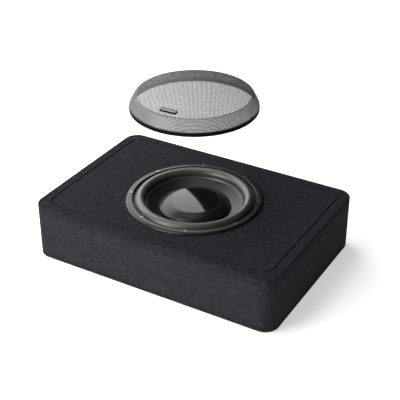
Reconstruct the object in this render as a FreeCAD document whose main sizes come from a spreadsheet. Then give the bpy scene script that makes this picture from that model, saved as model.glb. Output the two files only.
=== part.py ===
import FreeCAD, Part
import math
import os
import Sketcher
from FreeCAD import Placement, Rotation, Vector

# Powered car subwoofer: a low, flat cabinet with a round driver in its lid, a lift-off
# grille drawn above the driver, and an amplifier in a recess of the left side wall.
# X runs along the cabinet, Y across it (the back is +Y), Z up; the origin is on the
# underside, at the middle of the footprint. All lengths are millimetres.

doc = FreeCAD.newDocument("powered_subwoofer")
sheet = doc.addObject("Spreadsheet::Sheet", "Dims")

DIMENSIONS = (
    ("box_width", 560.0, "cabinet, left to right"),
    ("box_depth", 380.0, "cabinet, front to back"),
    ("box_height", 123.0, "cabinet, floor to lid"),
    ("corner_radius", 31.0, "upright corners of the cabinet"),
    ("edge_radius", 3.5, "rounding along the top and bottom edges"),
    ("wall", 15.0, "side wall boards"),
    ("bottom_thick", 12.0, "bottom board"),
    ("top_thick", 18.0, "lid frame and baffle board"),
    ("groove_inset", 22.0, "outer side of the lid groove, from the cabinet's side"),
    ("groove_width", 1.8, "lid groove"),
    ("groove_corner", 22.0, "corner radius of the lid groove, outer side"),
    ("groove_bevel", 0.8, "bevel along both sides of the groove"),
    ("tie_inset", 20.3, "corner tie bolt, from both sides of the cabinet"),
    ("tie_head_radius", 3.4, "tie bolt head"),
    ("tie_head_tall", 4.0, "tie bolt head height"),
    ("tie_radius", 2.2, "tie bolt shank"),
    ("foot_spacing_x", 440.0, "threaded base inserts, left to right"),
    ("foot_spacing_y", 260.0, "threaded base inserts, front to back"),
    ("insert_radius", 4.5, "base insert outside"),
    ("insert_bore", 2.5, "base insert thread, minor radius"),
    ("insert_long", 9.0, "base insert length"),
    ("recess_radius", 142.2, "driver recess in the baffle"),
    ("recess_deep", 4.0, "driver recess depth"),
    ("cutout_radius", 121.5, "driver opening in the baffle"),
    ("flange_radius", 141.5, "basket flange"),
    ("screw_circle", 134.5, "radius of the driver's screw circle"),
    ("driver_screw", 2.1, "driver screw shank radius"),
    ("ring_foot", 144.4, "trim ring, outer radius"),
    ("ring_bore", 130.3, "trim ring, inner radius"),
    ("ring_rise", 4.2, "trim ring height above the lid"),
    ("roll_middle", 114.2, "middle of the surround's roll"),
    ("roll_outer", 11.1, "surround roll, outside radius"),
    ("roll_inner", 9.5, "surround roll, inside radius"),
    ("cap_radius", 75.5, "dust cap"),
    ("disc_radius", 51.0, "gloss disc on the dust cap"),
    ("former_radius", 32.4, "voice coil former, outside"),
    ("pole_radius", 31.4, "pole piece"),
    ("gap_radius", 34.4, "top plate bore"),
    ("grille_lift", 210.0, "underside of the grille ring above the lid"),
    ("grille_radius", 129.4, "grille ring, outside"),
    ("grille_ring_bore", 126.2, "grille ring, inside"),
    ("grille_ring_tall", 6.6, "grille ring height"),
    ("sheet_thick", 1.2, "grille sheet"),
    ("grille_crown", 33.0, "top of the grille above its ring's underside"),
    ("badge_long", 36.0, "grille badge, left to right"),
    ("badge_wide", 13.0, "grille badge, front to back"),
    ("badge_y", -96.0, "grille badge, middle"),
    ("badge_rise", 0.9, "grille badge, above the grille's crown"),
    ("amp_mid", 58.0, "amplifier panel, middle height"),
    ("amp_long", 264.0, "amplifier recess in the left wall"),
    ("amp_tall", 78.0, "amplifier recess height"),
    ("amp_sink", 6.5, "amplifier recess depth"),
    ("tray_long", 237.0, "sunken tray of the amplifier panel"),
    ("tray_tall", 57.0, "sunken tray height"),
    ("tray_deep", 16.0, "tray floor behind the panel's face"),
    ("plate", 2.5, "amplifier panel sheet"),
    ("knob_radius", 7.0, "control knobs"),
    ("knob_long", 9.5, "control knob length"),
    ("spindle_radius", 2.9, "control knob spindle"),
    ("spindle_fit", 0.05, "running clearance round a spindle"),
    ("rca_radius", 4.15, "phono socket barrel"),
    ("rca_long", 10.0, "phono socket barrel length"),
    ("wire_port", 3.2, "bore for a supply wire"),
    ("wire_port_deep", 10.0, "depth of a supply wire bore"),
)

SCREW_COUNT = 8
SCREW_START_DEG = 22.5
SIDES = ((1, 1), (-1, 1), (-1, -1), (1, -1))


class Size:
    """A length that holds its value and the sheet expression that gives it."""

    def __init__(self, value, text):
        self.value = float(value)
        self.text = text

    def join(self, sign, other, value):
        return Size(value, "(%s %s %s)" % (self.text, sign, size(other).text))

    def __add__(self, other):
        return self.join("+", other, self.value + size(other).value)

    def __sub__(self, other):
        return self.join("-", other, self.value - size(other).value)

    def __mul__(self, other):
        return self.join("*", other, self.value * size(other).value)

    def __truediv__(self, other):
        return self.join("/", other, self.value / size(other).value)

    def __radd__(self, other):
        return size(other) + self

    def __rsub__(self, other):
        return size(other) - self

    def __rmul__(self, other):
        return size(other) * self

    def __neg__(self):
        return 0 - self


def size(number):
    """A plain number or a Size, as a Size."""
    if isinstance(number, Size):
        return number
    return Size(number, "%.6f" % number)


class Dims:
    """The driving dimensions, each under its own name."""


for row, (name, number, note) in enumerate(DIMENSIONS, start=1):
    sheet.set("A%d" % row, name)
    sheet.set("B%d" % row, repr(number))
    sheet.set("C%d" % row, note)
    sheet.setAlias("B%d" % row, name)
    setattr(Dims, name, Size(number, "Dims." + name))
doc.recompute()

D = Dims
LEFT = -D.box_width / 2
LID = D.box_height
ROOF = D.box_height - D.top_thick


# ---------------------------------------------------------------- shared helpers

def bind(item, **values):
    """Bind an object's properties to sheet expressions; __ stands for a dot."""
    for name, value in values.items():
        item.setExpression(name.replace("__", "."), size(value).text)


def put(item, x, y, z, turn=Rotation()):
    """Place an object, its position bound to the sheet."""
    item.Placement = Placement(Vector(size(x).value, size(y).value, size(z).value), turn)
    bind(item, Placement__Base__x=x, Placement__Base__y=y, Placement__Base__z=z)


def label(item, name):
    item.Label = name
    return item


def new_body(name):
    """An empty PartDesign body labelled as its node."""
    return label(doc.addObject("PartDesign::Body", name), name)


def new_sketch(body, role="XY_Plane", lift=0.0):
    """A sketch on one of the body's origin planes, lifted along that plane's normal."""
    plane = [item for item in body.Origin.OriginFeatures if item.Role == role][0]
    sketch = body.newObject("Sketcher::SketchObject", body.Name + "_sketch")
    sketch.AttachmentSupport = [(plane, "")]
    sketch.MapMode = "FlatFace"
    sketch.AttachmentOffset = Placement(Vector(0, 0, size(lift).value), Rotation())
    sketch.setExpression("AttachmentOffset.Base.z", size(lift).text)
    return sketch


def pin_point(sketch, item, position, x, y):
    """Hold one point of a sketch at (x, y), both bound to the sheet."""
    for kind, axis, value in (("DistanceX", -2, size(x)), ("DistanceY", -1, size(y))):
        if abs(value.value) < 1e-9:
            sketch.addConstraint(Sketcher.Constraint("PointOnObject", item, position, axis))
            continue
        number = sketch.addConstraint(
            Sketcher.Constraint(kind, -1, 1, item, position, value.value)
        )
        sketch.setExpression("Constraints[%d]" % number, value.text)


def set_radius(sketch, item, radius):
    number = sketch.addConstraint(Sketcher.Constraint("Radius", item, size(radius).value))
    sketch.setExpression("Constraints[%d]" % number, size(radius).text)


def arc_between(first, second, radius, bulge):
    """An arc from first to second; bulge 1 puts its centre on the left of that run."""
    chord = second - first
    middle = (first + second) / 2
    left = Vector(-chord.y, chord.x, 0).normalize()
    reach = math.sqrt(max(radius ** 2 - (chord.Length / 2) ** 2, 0.0))
    centre = middle + left * (reach * bulge)
    start = math.atan2(first.y - centre.y, first.x - centre.x)
    end = math.atan2(second.y - centre.y, second.x - centre.x)
    if bulge < 0:
        start, end = end, start
    return Part.ArcOfCircle(Part.Circle(centre, Vector(0, 0, 1), radius), start, end)


def outline(sketch, corners, arcs=None):
    """A closed outline. arcs maps a side's number to (radius, bulge)."""
    arcs = arcs or {}
    places = [Vector(size(x).value, size(y).value, 0) for x, y in corners]
    ends = []
    for number, place in enumerate(places):
        following = places[(number + 1) % len(places)]
        if number in arcs:
            radius, bulge = arcs[number]
            item = sketch.addGeometry(arc_between(place, following, size(radius).value, bulge))
            set_radius(sketch, item, radius)
            ends.append((item, 1, 2) if bulge > 0 else (item, 2, 1))
        else:
            item = sketch.addGeometry(Part.LineSegment(place, following))
            ends.append((item, 1, 2))
    for number, (x, y) in enumerate(corners):
        item, start, _ = ends[number]
        before, _, finish = ends[number - 1]
        sketch.addConstraint(Sketcher.Constraint("Coincident", before, finish, item, start))
        pin_point(sketch, item, start, x, y)


def rounded_outline(sketch, width, depth, radius, x=0.0, y=0.0):
    """A rectangle with round corners about (x, y)."""
    corners = []
    for number, (across, along) in enumerate(SIDES):
        flat = (x + across * (width / 2 - radius), y + along * depth / 2)
        upright = (x + across * width / 2, y + along * (depth / 2 - radius))
        corners += [upright, flat] if number % 2 == 0 else [flat, upright]
    outline(sketch, corners, {side: (radius, 1) for side in (0, 2, 4, 6)})


def circle(sketch, x, y, radius):
    centre = Vector(size(x).value, size(y).value, 0)
    item = sketch.addGeometry(Part.Circle(centre, Vector(0, 0, 1), size(radius).value))
    pin_point(sketch, item, 3, x, y)
    set_radius(sketch, item, radius)


def on_ring(radius, number, count=SCREW_COUNT, start=SCREW_START_DEG):
    """The place of one of count points spread round a circle."""
    angle = math.radians(start + number * 360.0 / count)
    return radius * math.cos(angle), radius * math.sin(angle)


def screw_holes(sketch, radius):
    """Circles for the driver's ring of screws."""
    for number in range(SCREW_COUNT):
        x, y = on_ring(D.screw_circle, number)
        circle(sketch, x, y, radius)


def pad(body, sketch, length):
    feature = body.newObject("PartDesign::Pad", body.Name + "_pad")
    feature.Profile = sketch
    bind(feature, Length=length)
    doc.recompute()
    return feature


def pocket(body, sketch, length, along_normal=False):
    """Cut a sketch into the body, by default against the sketch plane's normal."""
    before = body.Shape.Volume
    feature = body.newObject("PartDesign::Pocket", body.Name + "_pocket")
    feature.Profile = sketch
    feature.Reversed = along_normal
    bind(feature, Length=length)
    doc.recompute()
    if feature.Shape.Volume > before - 1e-3:
        raise ValueError("%s: a pocket cut nothing" % body.Label)
    return feature


def revolve(name, corners, arcs=None):
    """A body turned about Z from an outline of (radius, height) corners."""
    body = new_body(name)
    sketch = new_sketch(body, "XZ_Plane")
    outline(sketch, corners, arcs)
    feature = body.newObject("PartDesign::Revolution", name + "_turn")
    feature.Profile = sketch
    feature.ReferenceAxis = (sketch, ["V_Axis"])
    feature.Angle = 360.0
    doc.recompute()
    return body


def edges_at(feature, height, reach=None):
    """Names of the edges lying flat at a height, within reach of the middle in X."""
    names = []
    for number, edge in enumerate(feature.Shape.Edges, start=1):
        box = edge.BoundBox
        flat = abs(box.ZMin - height) < 1e-4 and abs(box.ZMax - height) < 1e-4
        near = reach is None or max(abs(box.XMin), abs(box.XMax)) < reach
        if flat and near:
            names.append("Edge%d" % number)
    return names


def soften(body, kind, feature, names, amount):
    """Fillet or chamfer the named edges of a body's last feature."""
    item = body.newObject("PartDesign::" + kind, body.Name + "_" + kind.lower())
    item.Base = (feature, names)
    bind(item, **{"Radius" if kind == "Fillet" else "Size": amount})
    doc.recompute()
    return item


def block(name, x, y, z, long, deep, tall):
    """A Part box from its low corner and its sizes."""
    item = doc.addObject("Part::Box", name)
    bind(item, Length=long, Width=deep, Height=tall)
    put(item, x, y, z)
    return label(item, name)


ALONG_X = Rotation(Vector(0, 1, 0), 90)
ALONG_Z = Rotation()


def rod(name, x, y, z, radius, length, turn=ALONG_Z):
    """A Part cylinder from the middle of its first end."""
    item = doc.addObject("Part::Cylinder", name)
    bind(item, Radius=radius, Height=length)
    put(item, x, y, z, turn)
    return label(item, name)


def joined(name, items):
    item = doc.addObject("Part::MultiFuse", name)
    item.Shapes = items
    return label(item, name)


def less(name, base, tools):
    """base with every tool cut out of it."""
    item = doc.addObject("Part::Cut", name)
    item.Base = base
    item.Tool = tools[0] if len(tools) == 1 else joined(name + "_tools", tools)
    return label(item, name)


def group(name, items):
    """Separate solids that share one node."""
    item = doc.addObject("Part::Compound", name)
    item.Links = items
    return label(item, name)


# ---------------------------------------------------------------- cabinet

def tie_places():
    return [
        (across * (D.box_width / 2 - D.tie_inset), along * (D.box_depth / 2 - D.tie_inset))
        for across, along in SIDES
    ]


def foot_places():
    return [(across * D.foot_spacing_x / 2, along * D.foot_spacing_y / 2) for across, along in SIDES]


TIE_CLEAR = 0.2
TIE_SEAT_FIT = 0.4
TIE_SINK = 0.6
NUT_RADIUS = 6.0
NUT_DEEP = 4.0
NUT_SUNK = 1.0
AMP_CORNER = 8.0
TRAY_CORNER = 6.0
WINDOW_FIT = 3.0
WINDOW_LONG = D.tray_long + WINDOW_FIT
WINDOW_TALL = D.tray_tall + WINDOW_FIT
PILOT_DEEP = 12.0


def make_bottom_panel():
    """Bottom board, with tie nut recesses and base insert holes on its underside."""
    body = new_body("bottom_panel")
    sketch = new_sketch(body)
    rounded_outline(sketch, D.box_width, D.box_depth, D.corner_radius)
    slab = pad(body, sketch, D.bottom_thick)
    soften(body, "Fillet", slab, edges_at(slab, 0.0), D.edge_radius)
    through = new_sketch(body, lift=D.bottom_thick)
    for x, y in tie_places():
        circle(through, x, y, D.tie_radius + TIE_CLEAR)
    pocket(body, through, D.bottom_thick)
    nuts = new_sketch(body, lift=NUT_DEEP)
    for x, y in tie_places():
        circle(nuts, x, y, NUT_RADIUS)
    pocket(body, nuts, NUT_DEEP)
    feet = new_sketch(body, lift=D.insert_long)
    for x, y in foot_places():
        circle(feet, x, y, D.insert_radius)
    pocket(body, feet, D.insert_long)


def make_walls():
    """Front, back and right boards, and the left board with the amplifier opening."""
    inside_x = D.box_width / 2 - D.corner_radius
    inside_y = D.box_depth / 2 - D.corner_radius
    tall = ROOF - D.bottom_thick
    block("front_wall", -inside_x, -D.box_depth / 2, D.bottom_thick, inside_x * 2, D.wall, tall)
    block("back_wall", -inside_x, D.box_depth / 2 - D.wall, D.bottom_thick, inside_x * 2, D.wall, tall)
    block("right_wall", D.box_width / 2 - D.wall, -inside_y, D.bottom_thick, D.wall, inside_y * 2, tall)

    body = new_body("left_wall")
    board = new_sketch(body, "YZ_Plane", LEFT)
    outline(board, (
        (-inside_y, D.bottom_thick),
        (inside_y, D.bottom_thick),
        (inside_y, ROOF),
        (-inside_y, ROOF),
    ))
    pad(body, board, D.wall)
    recess = new_sketch(body, "YZ_Plane", LEFT)
    rounded_outline(recess, D.amp_long, D.amp_tall, size(AMP_CORNER), 0.0, D.amp_mid)
    pocket(body, recess, D.amp_sink, along_normal=True)
    window = new_sketch(body, "YZ_Plane", LEFT)
    rounded_outline(window, WINDOW_LONG, WINDOW_TALL, size(TRAY_CORNER), 0.0, D.amp_mid)
    pocket(body, window, D.wall, along_normal=True)


def make_corner_posts():
    """Quarter-round posts at the four corners, each bored for its tie bolt."""
    posts = []
    for number, (across, along) in enumerate(SIDES):
        post = doc.addObject("Part::Cylinder", "post_round")
        bind(post, Radius=D.corner_radius, Height=ROOF - D.bottom_thick)
        post.Angle = 90.0
        x = across * (D.box_width / 2 - D.corner_radius)
        y = along * (D.box_depth / 2 - D.corner_radius)
        put(post, x, y, D.bottom_thick, Rotation(Vector(0, 0, 1), 90.0 * number))
        tie_x, tie_y = tie_places()[number]
        hole = rod("post_hole", tie_x, tie_y, 0.0, D.tie_radius + TIE_CLEAR, LID)
        posts.append(less("post", post, [hole]))
    group("corner_posts", posts)


def is_inner(feature, name, reach):
    """True where an edge stays within reach of the middle in Y."""
    box = feature.Shape.getElement(name).BoundBox
    return max(abs(box.YMin), abs(box.YMax)) < reach


def make_top_frame():
    """Lid border: the outer ring of the lid, with sunk seats for the tie bolts."""
    body = new_body("top_frame")
    sketch = new_sketch(body, lift=ROOF)
    rounded_outline(sketch, D.box_width, D.box_depth, D.corner_radius)
    slab = pad(body, sketch, D.top_thick)
    soften(body, "Fillet", slab, edges_at(slab, LID.value), D.edge_radius)
    opening = new_sketch(body, lift=LID)
    width = D.box_width - D.groove_inset * 2
    depth = D.box_depth - D.groove_inset * 2
    rounded_outline(opening, width, depth, D.groove_corner)
    cut = pocket(body, opening, D.top_thick)
    rim = edges_at(cut, LID.value, width.value / 2 + 0.1)
    inner = [name for name in rim if is_inner(cut, name, depth.value / 2 + 0.1)]
    soften(body, "Chamfer", cut, inner, D.groove_bevel)
    seats = new_sketch(body, lift=LID)
    for x, y in tie_places():
        circle(seats, x, y, D.tie_head_radius + TIE_SEAT_FIT)
    pocket(body, seats, D.tie_head_tall + TIE_SINK)
    holes = new_sketch(body, lift=LID)
    for x, y in tie_places():
        circle(holes, x, y, D.tie_radius + TIE_CLEAR)
    pocket(body, holes, D.top_thick)


def make_baffle_panel():
    """Baffle board inside the groove, with the driver's opening and recess."""
    body = new_body("baffle_panel")
    sketch = new_sketch(body, lift=ROOF)
    inset = D.groove_inset + D.groove_width
    width = D.box_width - inset * 2
    depth = D.box_depth - inset * 2
    rounded_outline(sketch, width, depth, D.groove_corner - D.groove_width)
    slab = pad(body, sketch, D.top_thick)
    soften(body, "Chamfer", slab, edges_at(slab, LID.value), D.groove_bevel)
    recess = new_sketch(body, lift=LID)
    circle(recess, 0.0, 0.0, D.recess_radius)
    pocket(body, recess, D.recess_deep)
    opening = new_sketch(body, lift=LID)
    circle(opening, 0.0, 0.0, D.cutout_radius)
    pocket(body, opening, D.top_thick)
    pilots = new_sketch(body, lift=LID - D.recess_deep)
    screw_holes(pilots, D.driver_screw)
    pocket(body, pilots, PILOT_DEEP)


LEDGE_WIDE = 25.0
LEDGE_TALL = 12.0


def make_ledge_strips():
    """Glued strips under the lid that the baffle board rests on."""
    x = D.box_width / 2 - D.corner_radius
    y = D.box_depth / 2 - D.wall
    z = ROOF - LEDGE_TALL
    side_y = y - LEDGE_WIDE
    side_x = D.box_width / 2 - D.wall
    group("ledge_strips", [
        block("ledge_front", -x, -y, z, x * 2, LEDGE_WIDE, LEDGE_TALL),
        block("ledge_back", -x, side_y, z, x * 2, LEDGE_WIDE, LEDGE_TALL),
        block("ledge_left", -side_x, -side_y, z, LEDGE_WIDE, side_y * 2, LEDGE_TALL),
        block("ledge_right", side_x - LEDGE_WIDE, -side_y, z, LEDGE_WIDE, side_y * 2, LEDGE_TALL),
    ])


BRACE_X = 172.0
BULKHEAD_X = -196.0
BOARD_THICK = 12.0
LEAD_Y = 40.0
LEAD_Z = 46.0
LEAD_BORE = 5.0
GROMMET_RADIUS = 7.0


def cross_board(name, x):
    """An upright board across the cabinet, notched under the ledge strips."""
    body = new_body(name)
    sketch = new_sketch(body, "YZ_Plane", x)
    wide = D.box_depth / 2 - D.wall
    narrow = wide - LEDGE_WIDE
    shoulder = ROOF - LEDGE_TALL
    outline(sketch, (
        (-wide, D.bottom_thick),
        (wide, D.bottom_thick),
        (wide, shoulder),
        (narrow, shoulder),
        (narrow, ROOF),
        (-narrow, ROOF),
        (-narrow, shoulder),
        (-wide, shoulder),
    ))
    pad(body, sketch, BOARD_THICK)
    return body


def make_inner_boards():
    """A windowed brace on the right and the amplifier chamber's bulkhead on the left."""
    brace = cross_board("brace_board", BRACE_X)
    windows = new_sketch(brace, "YZ_Plane", BRACE_X)
    for y in (-90.0, 0.0, 90.0):
        rounded_outline(windows, size(62.0), size(50.0), size(20.0), y, D.amp_mid)
    pocket(brace, windows, BOARD_THICK, along_normal=True)
    bulkhead = cross_board("amp_bulkhead", BULKHEAD_X)
    port = new_sketch(bulkhead, "YZ_Plane", BULKHEAD_X)
    circle(port, LEAD_Y, LEAD_Z, GROMMET_RADIUS)
    pocket(bulkhead, port, BOARD_THICK, along_normal=True)
    sleeve = rod("grommet_sleeve", BULKHEAD_X, LEAD_Y, LEAD_Z, GROMMET_RADIUS, BOARD_THICK, ALONG_X)
    bore = rod("grommet_bore", BULKHEAD_X, LEAD_Y, LEAD_Z, LEAD_BORE, BOARD_THICK, ALONG_X)
    less("wire_grommet", sleeve, [bore])


def make_cabinet_hardware():
    """Tie bolts through the corner posts, their nuts, and the base inserts."""
    bolts = []
    inserts = []
    head_z = LID - D.tie_head_tall - TIE_SINK
    for x, y in tie_places():
        head = rod("tie_head", x, y, head_z, D.tie_head_radius, D.tie_head_tall)
        shank = rod("tie_shank", x, y, NUT_SUNK, D.tie_radius, head_z)
        socket = doc.addObject("Part::Prism", "tie_socket")
        socket.Polygon = 6
        socket.Circumradius = 1.9
        bind(socket, Height=D.tie_head_tall)
        put(socket, x, y, head_z + 1.6)
        bolts.append(less("tie_bolt", joined("tie_blank", [head, shank]), [socket]))
        nut = rod("tie_nut_blank", x, y, NUT_SUNK, NUT_RADIUS - 0.1, NUT_DEEP - NUT_SUNK)
        bore = rod("tie_nut_bore", x, y, 0.0, D.tie_radius + 0.02, NUT_DEEP + 1.0)
        inserts.append(less("tie_nut", nut, [bore]))
    for x, y in foot_places():
        sleeve = rod("insert_blank", x, y, 0.5, D.insert_radius, D.insert_long - 0.5)
        bore = rod("insert_hole", x, y, 0.0, D.insert_bore, D.insert_long - 1.0)
        inserts.append(less("base_insert", sleeve, [bore]))
    group("tie_bolts", bolts)
    group("threaded_inserts", inserts)


# ---------------------------------------------------------------- driver

SCREW_CLEAR = 0.3


def make_driver_gasket():
    body = new_body("driver_gasket")
    sketch = new_sketch(body, lift=LID - D.recess_deep)
    circle(sketch, 0.0, 0.0, D.flange_radius)
    circle(sketch, 0.0, 0.0, D.cutout_radius + 0.5)
    pad(body, sketch, 1.0)
    holes = new_sketch(body, lift=LID)
    screw_holes(holes, D.driver_screw + SCREW_CLEAR)
    pocket(body, holes, D.recess_deep)


def make_basket():
    """Pressed steel frame: flange, slanted wall with windows, spider ledge and floor."""
    body = revolve("basket", (
        (D.flange_radius, LID - 1.0),
        (size(117.0), LID - 1.0),
        (size(115.0), LID - 12.0),
        (size(90.5), LID - 40.0),
        (size(80.0), LID - 40.0),
        (size(66.5), LID - 57.5),
        (size(40.0), LID - 57.5),
        (size(40.0), LID - 60.0),
        (size(68.0), LID - 60.0),
        (size(81.7), LID - 42.3),
        (size(91.6), LID - 42.3),
        (size(117.2), LID - 13.0),
        (size(119.2), LID - 3.0),
        (D.flange_radius, LID - 3.0),
    ))
    holes = new_sketch(body, lift=LID)
    screw_holes(holes, D.driver_screw + SCREW_CLEAR)
    pocket(body, holes, D.recess_deep)
    window = new_sketch(body, lift=LID - 14.0)
    near = [on_ring(size(95.0), number, 1, start) for number, start in ((0, 10.0), (0, -10.0))]
    far = [on_ring(size(112.0), number, 1, start) for number, start in ((0, -14.0), (0, 14.0))]
    outline(window, near + far)
    cut = pocket(body, window, 28.0)
    axis = [item for item in body.Origin.OriginFeatures if item.Role == "Z_Axis"][0]
    pattern = body.newObject("PartDesign::PolarPattern", "basket_windows")
    pattern.Originals = [cut]
    pattern.Axis = (axis, [""])
    pattern.Angle = 360.0
    pattern.Occurrences = SCREW_COUNT
    body.Tip = pattern
    doc.recompute()


SURROUND_FOOT = 1.6
SURROUND_DROP = 2.0
SURROUND_LIP = 98.0
SURROUND_EDGE = 11.4


def make_surround():
    """Rubber half roll between the basket flange and the cone's edge."""
    middle = LID - SURROUND_DROP
    under = LID - 1.0
    outer_rise = SURROUND_DROP + SURROUND_FOOT - 1.0
    inner_rise = SURROUND_DROP - 1.0
    outer_reach = math.sqrt(D.roll_outer.value ** 2 - outer_rise ** 2)
    inner_reach = math.sqrt(D.roll_inner.value ** 2 - inner_rise ** 2)
    edge = D.roll_middle + SURROUND_EDGE
    revolve("surround", (
        (edge, under),
        (edge, under + SURROUND_FOOT),
        (D.roll_middle + outer_reach, under + SURROUND_FOOT),
        (D.roll_middle - D.roll_outer, middle),
        (D.roll_middle - D.roll_outer, LID - 5.2),
        (size(SURROUND_LIP), LID - 7.3),
        (size(SURROUND_LIP), LID - 8.3),
        (D.roll_middle - D.roll_inner, LID - 5.5),
        (D.roll_middle - D.roll_inner, middle),
        (D.roll_middle + inner_reach, under),
    ), {2: (D.roll_outer, 1), 8: (D.roll_inner, -1)})


CONE_EDGE = (103.2, 6.5)
CONE_KNEE = (76.0, 18.0)
CONE_NECK = 35.0
CONE_THICK = 1.3


def make_moving_cone():
    """Cone, dust cap with its gloss disc, and the voice coil on its former."""
    neck = D.former_radius
    revolve("cone", (
        (size(CONE_EDGE[0]), LID - CONE_EDGE[1]),
        (size(CONE_KNEE[0]), LID - CONE_KNEE[1]),
        (neck, LID - CONE_NECK),
        (neck, LID - CONE_NECK - 2.5),
        (neck + 1.0, LID - CONE_NECK - 2.5),
        (neck + 2.0, LID - CONE_NECK - CONE_THICK),
        (size(CONE_KNEE[0]), LID - CONE_KNEE[1] - CONE_THICK),
        (size(CONE_EDGE[0]), LID - CONE_EDGE[1] - CONE_THICK),
    ))
    revolve("dust_cap", (
        (D.cap_radius, LID - 18.1),
        (D.cap_radius, LID - 15.6),
        (D.cap_radius - 2.2, LID - 13.2),
        (D.disc_radius + 0.8, LID - 3.1),
        (D.disc_radius + 0.3, LID - 3.1),
        (D.disc_radius + 0.3, LID - 4.3),
        (size(0.0), LID - 4.3),
        (size(0.0), LID - 5.5),
        (D.disc_radius, LID - 5.5),
        (D.cap_radius - 3.6, LID - 14.4),
        (D.cap_radius - 1.5, LID - 18.6),
    ), {1: (size(3.4), 1), 2: (size(60.0), 1)})
    revolve("dust_cap_disc", (
        (size(0.0), LID - 4.3),
        (D.disc_radius, LID - 4.3),
        (D.disc_radius, LID - 3.2),
        (D.disc_radius - 15.0, LID - 2.1),
        (D.disc_radius - 33.0, LID - 1.4),
        (size(0.0), LID - 1.4),
    ))
    revolve("voice_coil_former", (
        (neck - 0.5, LID - 74.0),
        (neck, LID - 74.0),
        (neck, LID - 33.0),
        (neck - 0.5, LID - 33.0),
    ))
    revolve("voice_coil", (
        (neck, LID - 73.0),
        (neck + 1.3, LID - 73.0),
        (neck + 1.3, LID - 55.0),
        (neck, LID - 55.0),
    ))


SPIDER_FOLDS = 6
SPIDER_SWING = 1.8
SPIDER_THICK = 0.8


def make_spider():
    """Corrugated disc that centres the voice coil, glued to the basket's ledge."""
    outside = 90.0
    landing = 81.0
    inside = D.former_radius.value + 0.05
    level = LID.value - 40.0 + SPIDER_THICK / 2
    steps = SPIDER_FOLDS * 4
    middle = [(outside, level), (landing, level)]
    for step in range(1, steps):
        radius = landing + (inside + 3.0 - landing) * step / steps
        middle.append((radius, level + SPIDER_SWING * math.sin(2 * math.pi * step / 4.0)))
    middle += [(inside + 3.0, level), (inside, level)]
    upper = [Vector(radius, 0, z + SPIDER_THICK / 2) for radius, z in middle]
    lower = [Vector(radius, 0, z - SPIDER_THICK / 2) for radius, z in reversed(middle)]
    face = Part.Face(Part.makePolygon(upper + lower + upper[:1]))
    item = doc.addObject("Part::Feature", "spider")
    item.Shape = face.revolve(Vector(0, 0, 0), Vector(0, 0, 1), 360)
    item.Placement = Placement()


def make_motor():
    """Top plate, ring magnet and the back plate with its vented pole."""
    revolve("top_plate", (
        (D.gap_radius, LID - 68.0),
        (size(62.0), LID - 68.0),
        (size(62.0), LID - 60.0),
        (D.gap_radius, LID - 60.0),
    ))
    revolve("magnet", (
        (size(44.0), LID - 84.0),
        (size(70.0), LID - 84.0),
        (size(70.0), LID - 68.0),
        (size(44.0), LID - 68.0),
    ))
    revolve("back_plate", (
        (size(8.0), LID - 92.0),
        (size(62.0), LID - 92.0),
        (size(64.0), LID - 90.0),
        (size(64.0), LID - 84.0),
        (D.pole_radius, LID - 84.0),
        (D.pole_radius, LID - 60.0),
        (size(8.0), LID - 60.0),
    ))


def tube(name, stops, radius, bend):
    """A round lead along straight runs joined by tangent arcs."""
    points = [Vector(*stop) for stop in stops]
    edges = []
    last = points[0]
    for before, corner, after in zip(points, points[1:], points[2:]):
        arriving = (corner - before).normalize()
        leaving = (after - corner).normalize()
        turn = arriving.getAngle(leaving)
        back = bend * math.tan(turn / 2)
        start = corner - arriving * back
        end = corner + leaving * back
        inward = (leaving - arriving).normalize()
        middle = corner + inward * (bend / math.cos(turn / 2) - bend)
        edges.append(Part.LineSegment(last, start).toShape())
        edges.append(Part.Arc(start, middle, end).toShape())
        last = end
    edges.append(Part.LineSegment(last, points[-1]).toShape())
    path = Part.Wire(edges)
    section = Part.Wire(Part.Circle(points[0], points[1] - points[0], radius).toShape())
    solid = path.makePipeShell([section], True, False)
    expected = math.pi * radius ** 2 * path.Length
    if abs(solid.Volume / expected - 1) > 0.02:
        raise ValueError("%s: the lead's volume is wrong" % name)
    return solid


def lead_pair(name, stops, radius, bend, spacing):
    """Two parallel leads in one node."""
    shapes = []
    for side in (-0.5, 0.5):
        route = [(x, y + side * spacing, z) for x, y, z in stops]
        shapes.append(tube(name, route, radius, bend))
    item = doc.addObject("Part::Feature", name)
    item.Shape = Part.makeCompound(shapes)
    item.Placement = Placement()


def make_driver_wiring():
    """Terminal strip under the basket's ledge, its flexible leads and the amplifier leads."""
    lid = LID.value
    block("terminal_strip", -91.5, LEAD_Y - 10.0, LID - 52.0, 7.0, 20.0, 9.7)
    lead_pair("tinsel_leads", (
        (-85.0, 0.0, lid - 36.8),
        (-72.0, 0.0, lid - 35.4),
        (-62.0, 0.0, lid - 28.4),
    ), 0.8, 8.0, 16.0)
    lead_pair("speaker_leads", (
        (-200.0, LEAD_Y, LEAD_Z),
        (-160.0, LEAD_Y, LEAD_Z),
        (-126.0, LEAD_Y, LEAD_Z + 22.0),
        (-92.4, LEAD_Y, lid - 48.0),
    ), 1.5, 20.0, 5.0)


SEAT_RADIUS = 4.1
SEAT_DEEP = 1.4
TRIM_HEAD_RADIUS = 3.6
TRIM_HEAD_TALL = 2.2


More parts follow.
